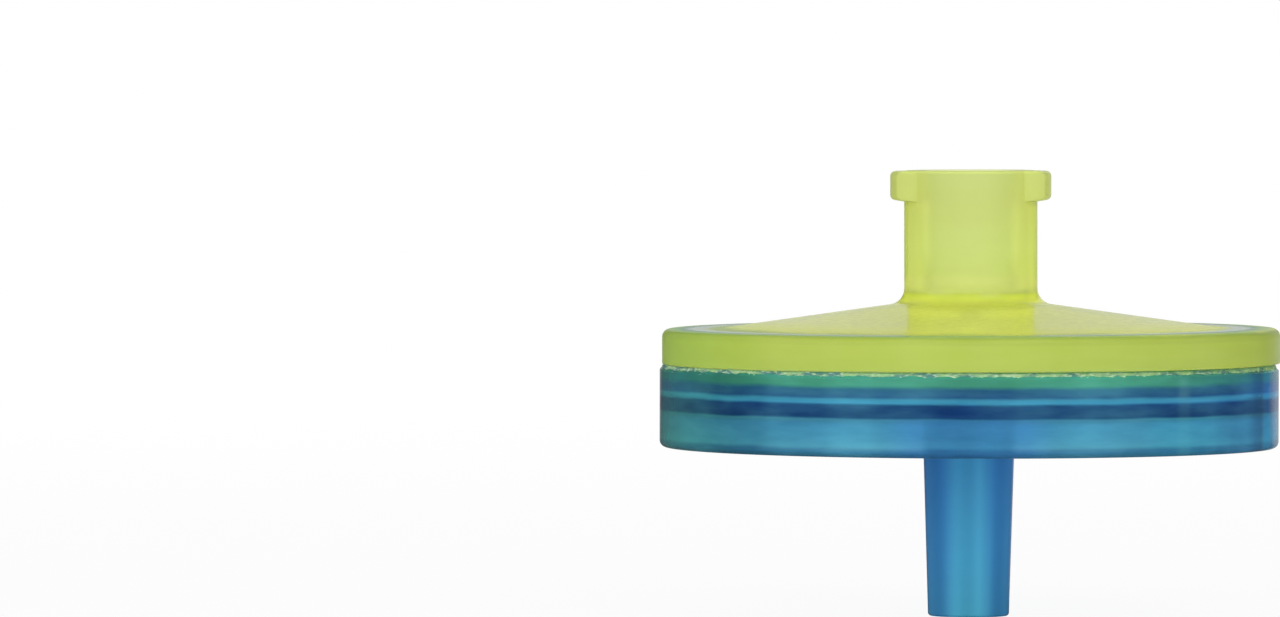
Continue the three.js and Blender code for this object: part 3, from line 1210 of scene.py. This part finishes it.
@dataclass(frozen=True)
class OutletHousing:
    """Blue moulding: cup, drained seat, plate, skirt and the luer tip with its bore."""

    gauge: Gauge
    finish: Polypropylene
    cup_wall: float = 1.1 * MM
    cup_edge: float = 0.04 * MM
    seat_edge: float = 0.08 * MM
    recess: float = 1.81 * MM
    recess_edge: float = 0.25 * MM
    skirt_wall: float = 1.6 * MM
    skirt_edge: float = 0.32 * MM
    skirt_inner_edge: float = 0.08 * MM
    chamfer_width: float = 0.35 * MM
    chamfer_height: float = 0.3 * MM
    chamfer_edge: float = 0.03 * MM
    tip_end: float = 1.975 * MM
    tip_edge: float = 0.16 * MM
    tip_bore: float = 0.95 * MM
    tip_bore_edge: float = 0.05 * MM
    tip_taper: float = 0.03
    tip_root: float = 0.3 * MM
    drain_depth: float = 0.3 * MM
    drain_outer: float = 12.15 * MM
    drain_well: float = 0.9 * MM
    drain_ridge: float = 0.6 * MM
    drain_rings: int = 5
    slot_count: int = 8
    slot_width: float = 0.8 * MM
    skin_margin: float = 0.1 * MM

    def body(self) -> Piece:
        """Models cup, plate, skirt, tip and bore.

        Returns:
            The new object.
        """
        g = self.gauge
        plate = g.skirt + self.recess
        seat = g.seat - g.hair
        floor = g.seat - self.drain_depth
        inner = g.disc - self.cup_wall
        skirt = g.disc - self.skirt_wall
        well = self.tip_bore + self.drain_well
        pitch = (self.drain_outer - well) / self.drain_rings
        outline = [
            Corner(self.tip_bore, 0, self.tip_bore_edge),
            Corner(self.tip_end, 0, self.tip_edge),
            Corner(self.tip_end + self.tip_taper * g.skirt, g.skirt),
            Corner(self.tip_end + self.tip_taper * plate, plate, self.tip_root),
            Corner(skirt, plate, self.recess_edge),
            Corner(skirt, g.skirt, self.skirt_inner_edge),
            Corner(g.disc, g.skirt, self.skirt_edge),
            Corner(g.disc, g.seam - self.chamfer_height, self.chamfer_edge),
            Corner(g.disc - self.chamfer_width, g.seam),
            Corner(inner, g.seam, self.cup_edge),
            Corner(inner, seat, self.seat_edge),
        ]
        for ring in range(self.drain_rings):
            outer = self.drain_outer - ring * pitch
            ridge = outer - pitch + self.drain_ridge
            outline += [Corner(outer, seat), Corner(outer, floor), Corner(ridge, floor), Corner(ridge, seat)]
        outline += [Corner(well, seat), Corner(well, floor), Corner(self.tip_bore, floor)]
        return turn_piece("outlet_housing_shell", outline, closed=True)

    def slots(self) -> Piece:
        """Models the cutters of the radial drain slots.

        Returns:
            The new object.
        """
        floor = self.gauge.seat - self.drain_depth
        half = self.slot_width / 2
        low = (self.tip_bore / 2, -half, floor)
        high = (self.drain_outer, half, self.gauge.seat + MM)
        return ring_copies(block("slot", low, high), self.slot_count)

    def is_skin(self, radius: float, level: float) -> bool:
        """Tests whether a face is on the disc's side, the tip or the recess's floor.

        Args:
            radius: The face's radius.
            level: The face's level.

        Returns:
            Whether it is skin.
        """
        g = self.gauge
        under = g.skirt + self.recess
        side = radius > g.disc - self.chamfer_width - self.skin_margin
        bore, stem = 1.2 * self.tip_bore, g.disc / 5
        tip = level < under + self.skin_margin and bore < radius < stem
        floor = abs(level - under) < self.skin_margin / 5 and radius > g.disc / 6
        return side or tip or floor

    def build(self) -> Piece:
        """Models and dresses the whole moulding.

        Returns:
            The finished piece.
        """
        piece = self.body()
        combine(piece, self.slots(), Combine.DIFFERENCE)
        smooth(piece)
        mark_skin(piece, self.is_skin)
        paint(piece, self.finish.build())
        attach(piece, "root")
        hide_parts("outlet_housing")
        return piece


# ---------------- membrane


@dataclass(frozen=True)
class Membrane:
    """White porous disc clamped between the housings."""

    gauge: Gauge
    finish: PorousFilm
    edge: float = 0.03 * MM
    centre_share: float = 0.05

    def build(self) -> Piece:
        """Models and dresses the disc.

        Returns:
            The finished piece.
        """
        g = self.gauge
        centre = g.membrane * self.centre_share
        outline = [
            Corner(centre, g.seat),
            Corner(g.membrane, g.seat, self.edge),
            Corner(g.membrane, g.membrane_top, self.edge),
            Corner(centre, g.membrane_top),
        ]
        piece = turn_piece("membrane_film", outline, closed=False)
        smooth(piece)
        paint(piece, self.finish.build())
        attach(piece, "root")
        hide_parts("membrane")
        return piece


# ---------------- weld


@dataclass(frozen=True)
class WeldBead:
    """Crumbly melt that fills the notch between the rim and the cup.

    Args:
        gauge: Levels and radii of the filter.
        finish: Look of the melt.
        section: Corners of the ring's section, as distances out from the disc's edge and up
            from the seam.
        sides: Number of sides round the axis.
        lumps: Size and height of the ring's lumps, the coarse ones first.
        crumbs: Number of crumbs.
        crumb: Mean size of a crumb.
        stretch: Its extent outwards, along the bead and upwards, against this size.
        reach: Depth below the seam that the crumbs reach.
        inset: Distance from the disc's edge at which they would start at the seam.
        slant: How much further out they lie where they are deepest.
        lean: Distance that the bead lies towards -X.
        lift: Angle by which its +X side rises.
        seed: Start of the random draws.
    """

    gauge: Gauge
    finish: Melt
    section: tuple[Span, ...] = (
        (-0.42 * MM, -0.03 * MM),
        (-0.23 * MM, -0.03 * MM),
        (-0.15 * MM, -0.12 * MM),
        (-0.11 * MM, -0.225 * MM),
        (-0.02 * MM, -0.33 * MM),
        (-0.32 * MM, -0.33 * MM),
        (-0.42 * MM, -0.18 * MM),
    )
    sides: int = 1080
    lumps: tuple[Span, ...] = ((0.5 * MM, 0.10 * MM), (0.5 / 3 * MM, 0.04 * MM))
    crumbs: int = 260
    crumb: float = 0.09 * MM
    stretch: Place = (1.0, 3.6, 0.6)
    reach: float = 0.30 * MM
    inset: float = 0.29 * MM
    slant: float = 0.20 * MM
    lean: float = 0.01 * MM
    lift: float = math.radians(0.03)
    seed: int = 7

    def ring(self) -> Piece:
        """Models the ring of melt and roughens it.

        Returns:
            The new object.
        """
        outline = [Corner(self.gauge.disc + out, self.gauge.seam + up) for out, up in self.section]
        ring = turn_piece("weld_bead", outline, closed=True, sides=self.sides)
        activate(ring)
        for size, height in self.lumps:
            clouds = bpy.data.textures.new("melt_clouds", "CLOUDS")
            clouds.noise_scale = size
            clouds.noise_depth = 2
            modifier = ring.modifiers.new("Melt", "DISPLACE")
            modifier.texture = clouds
            modifier.texture_coords = "LOCAL"
            modifier.strength = height
            modifier.mid_level = 0.5
            bpy.ops.object.modifier_apply(modifier=modifier.name)
        return ring

    def scatter(self) -> list[Piece]:
        """Models one crumb and sets copies of it along the bead.

        Returns:
            The crumbs.
        """
        dice = random.Random(self.seed)
        g = self.gauge
        first = block("crumb", (-0.5, -0.5, -0.5), (0.5, 0.5, 0.5))
        edit(first, Select.VERT)
        bpy.ops.mesh.bevel(offset=0.22, segments=1, affect="EDGES")
        bpy.ops.object.mode_set(mode="OBJECT")
        made = []
        for _ in range(self.crumbs):
            bearing = dice.uniform(0, math.tau)
            depth = dice.uniform(0.25, 0.95)
            radius = g.disc - self.inset + self.slant * depth
            size = [self.crumb * dice.uniform(0.5, 1.4) * stretch for stretch in self.stretch]
            roll, pitch = dice.uniform(-0.15, 0.15), dice.uniform(-0.6, 0.6)
            turn = Euler((roll, pitch, bearing + dice.uniform(-0.3, 0.3)))
            level = g.seam - depth * self.reach
            place = Vector((radius * math.cos(bearing), radius * math.sin(bearing), level))
            copy = bpy.data.objects.new("crumb", first.data.copy())
            bpy.context.collection.objects.link(copy)
            copy.data.transform(Matrix.LocRotScale(place, turn, size))
            made.append(copy)
        bpy.data.objects.remove(first)
        return made

    def build(self) -> Piece:
        """Models and dresses the bead.

        Returns:
            The finished piece.
        """
        crumbs = self.scatter()
        piece = join([self.ring(), *crumbs])
        smooth(piece, 40)
        askew(piece, Vector((-self.gauge.disc, 0, self.gauge.seam)), self.lift, -self.lean)
        paint(piece, self.finish.build())
        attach(piece, "root")
        return piece


# ---------------- studio


@dataclass(frozen=True)
class Lamp:
    """One soft area lamp that faces the filter."""

    name: str
    place: Place
    size: Span
    power: float

    def build(self, aim: Vector) -> None:
        """Adds the lamp.

        Args:
            aim: The point it faces.
        """
        deselect_all()
        bpy.ops.object.light_add(type="AREA", location=self.place)
        lamp = added(self.name)
        lamp.data.shape = "RECTANGLE"
        lamp.data.size, lamp.data.size_y = self.size
        lamp.data.energy = self.power
        lamp.rotation_euler = (aim - lamp.location).to_track_quat("-Z", "Y").to_euler()


@dataclass(frozen=True)
class Panel:
    """White panel behind the filter, as reflections show it.

    Args:
        bearing: Bearing of its middle.
        edge: Angles from there at which it begins and is full.
    """

    bearing: float
    edge: Span


@dataclass(frozen=True)
class Studio:
    """Plain white studio: camera, soft lamps, white world and pale floor."""

    gauge: Gauge
    camera_place: Place = (0.0, -0.545, 0.029)
    camera_aim: Place = (-0.016075, 0.0, 0.01496)
    lens: float = 314.0
    roll: float = math.radians(0.1)
    floor_size: float = 6.0
    floor_reach: Span = (0.03, 0.3)
    floor_white: Span = (0.93, 1.0)
    floor_card: float = 0.8
    side_light: float = 0.15
    front_light: float = 2.0
    horizon_gloss: float = 0.08
    panel_gloss: float = 0.64
    roof_gloss: float = 0.4
    tent_edge: Span = (0.3, 0.95)
    world_panel: Panel = Panel(math.radians(6.5), (math.radians(17.5), math.radians(13.5)))
    floor_panel: Panel = Panel(math.radians(8.0), (math.radians(24.0), math.radians(19.0)))
    lamps: tuple[Lamp, ...] = (
        Lamp("key", place=(0.25, -0.35, 0.4), size=(0.3, 0.3), power=0.45),
        Lamp("fill", place=(-0.4, -0.25, 0.25), size=(0.4, 0.4), power=0.5),
        Lamp("strip", place=(0.6, -0.045, 0.05), size=(0.03, 0.25), power=0.06),
    )

    def camera(self) -> None:
        """Adds the camera at the filter's side, a little above its rim."""
        deselect_all()
        bpy.ops.object.camera_add(location=self.camera_place)
        camera = added("camera")
        aim = Vector(self.camera_aim) - camera.location
        turn = aim.to_track_quat("-Z", "Y") @ Euler((0, 0, self.roll)).to_quaternion()
        camera.rotation_euler = turn.to_euler()
        camera.data.lens = self.lens
        camera.data.sensor_width = 36.0
        camera.data.clip_start = 0.01
        camera.data.clip_end = 100.0
        bpy.context.scene.camera = camera

    def backdrop(self, graph: Graph, place: Socket, panel: Panel) -> Socket:
        """Adds the white of the panel behind the filter, by the bearing of a place or a direction.

        Args:
            graph: The graph to add to.
            place: The place or direction.
            panel: The panel.

        Returns:
            The panel's brightness in a reflection.
        """
        unit = graph.vector("NORMALIZE", graph.flat(place))
        middle = (math.sin(panel.bearing), math.cos(panel.bearing), 0)
        ahead = graph.vector("DOT_PRODUCT", unit, middle)
        limits = tuple(math.cos(angle) for angle in panel.edge)
        return graph.span(ahead, limits, (self.horizon_gloss, self.panel_gloss), Curve.EASED)

    @staticmethod
    def by_ray(graph: Graph, lit: object, gloss: object) -> Socket:
        """Adds one for what is seen straight or through the plastic, less for gloss and for light.

        Args:
            graph: The graph to add to.
            lit: Value for rays that only carry light.
            gloss: Value for rays that show a reflection.

        Returns:
            The value's socket.
        """
        path = graph.add("ShaderNodeLightPath").outputs
        seen = graph.math("MAXIMUM", path["Is Camera Ray"], path["Is Transmission Ray"])
        return graph.mix(seen, graph.mix(path["Is Glossy Ray"], lit, gloss), 1.0)

    def world(self) -> None:
        """Surrounds the filter with a white tent that is dimmer in reflections near the horizon."""
        world = bpy.data.worlds.new("studio_world")
        bpy.context.scene.world = world
        world.use_nodes = True
        graph = Graph(world.node_tree)
        direction = graph.place()
        axes = graph.axes(direction)
        gloss = (self.horizon_gloss, self.roof_gloss)
        roof = graph.span(axes["Z"], self.tent_edge, gloss, Curve.EASED)
        shown = graph.math("MAXIMUM", roof, self.backdrop(graph, direction, self.world_panel))
        along = graph.math("MULTIPLY", axes["Y"], axes["Y"])
        lit = graph.math("MULTIPLY_ADD", along, self.front_light, self.side_light)
        strength = self.by_ray(graph, lit, shown)
        shader = graph.add("ShaderNodeBackground", {"Color": (1, 1, 1, 1), "Strength": strength})
        graph.add("ShaderNodeOutputWorld", {"Surface": shader.outputs["Background"]})

    def floor(self) -> None:
        """Lays the floor, white to the eye and only pale to the light."""
        deselect_all()
        bpy.ops.mesh.primitive_plane_add(size=self.floor_size, location=(0, 0, 0))
        floor = added("floor")
        material, graph, place = Graph.of_material("floor_white")
        white = graph.span(graph.vector("LENGTH", place), self.floor_reach, self.floor_white, Curve.EASED)
        card = graph.add("ShaderNodeBsdfDiffuse", {"Color": (*[self.floor_card] * 3, 1)})
        strength = self.by_ray(graph, 0.0, self.backdrop(graph, place, self.floor_panel))
        glow = graph.add("ShaderNodeEmission", {"Color": (1, 1, 1, 1), "Strength": strength})
        share = graph.math("MULTIPLY", white, self.by_ray(graph, 0.0, 1.0))
        layers = {0: share, 1: card.outputs["BSDF"], 2: glow.outputs["Emission"]}
        mixed = graph.add("ShaderNodeMixShader", layers)
        graph.add("ShaderNodeOutputMaterial", {"Surface": mixed.outputs["Shader"]})
        paint(floor, material)

    def build(self) -> None:
        """Sets up the whole studio."""
        bpy.context.scene.view_settings.view_transform = "Standard"
        self.camera()
        self.world()
        self.floor()
        for lamp in self.lamps:
            lamp.build(Vector((0, 0, self.gauge.seam)))


# ---------------- the filter


def main() -> None:
    """Builds the filter's pieces and its studio in order, and reports each piece."""
    logging.basicConfig(level=logging.INFO, format="%(name)s %(message)s")
    gauge = Gauge.from_frame()
    for maker in (
        InletHousing(gauge, LIME),
        OutletHousing(gauge, BLUE),
        Membrane(gauge, PorousFilm()),
        WeldBead(gauge, Melt(gauge.seam)),
    ):
        piece = maker.build()
        LOG.info("%s: %d faces", piece.name, len(piece.data.polygons))
    Studio(gauge).build()


if __name__ == "__main__":
    main()
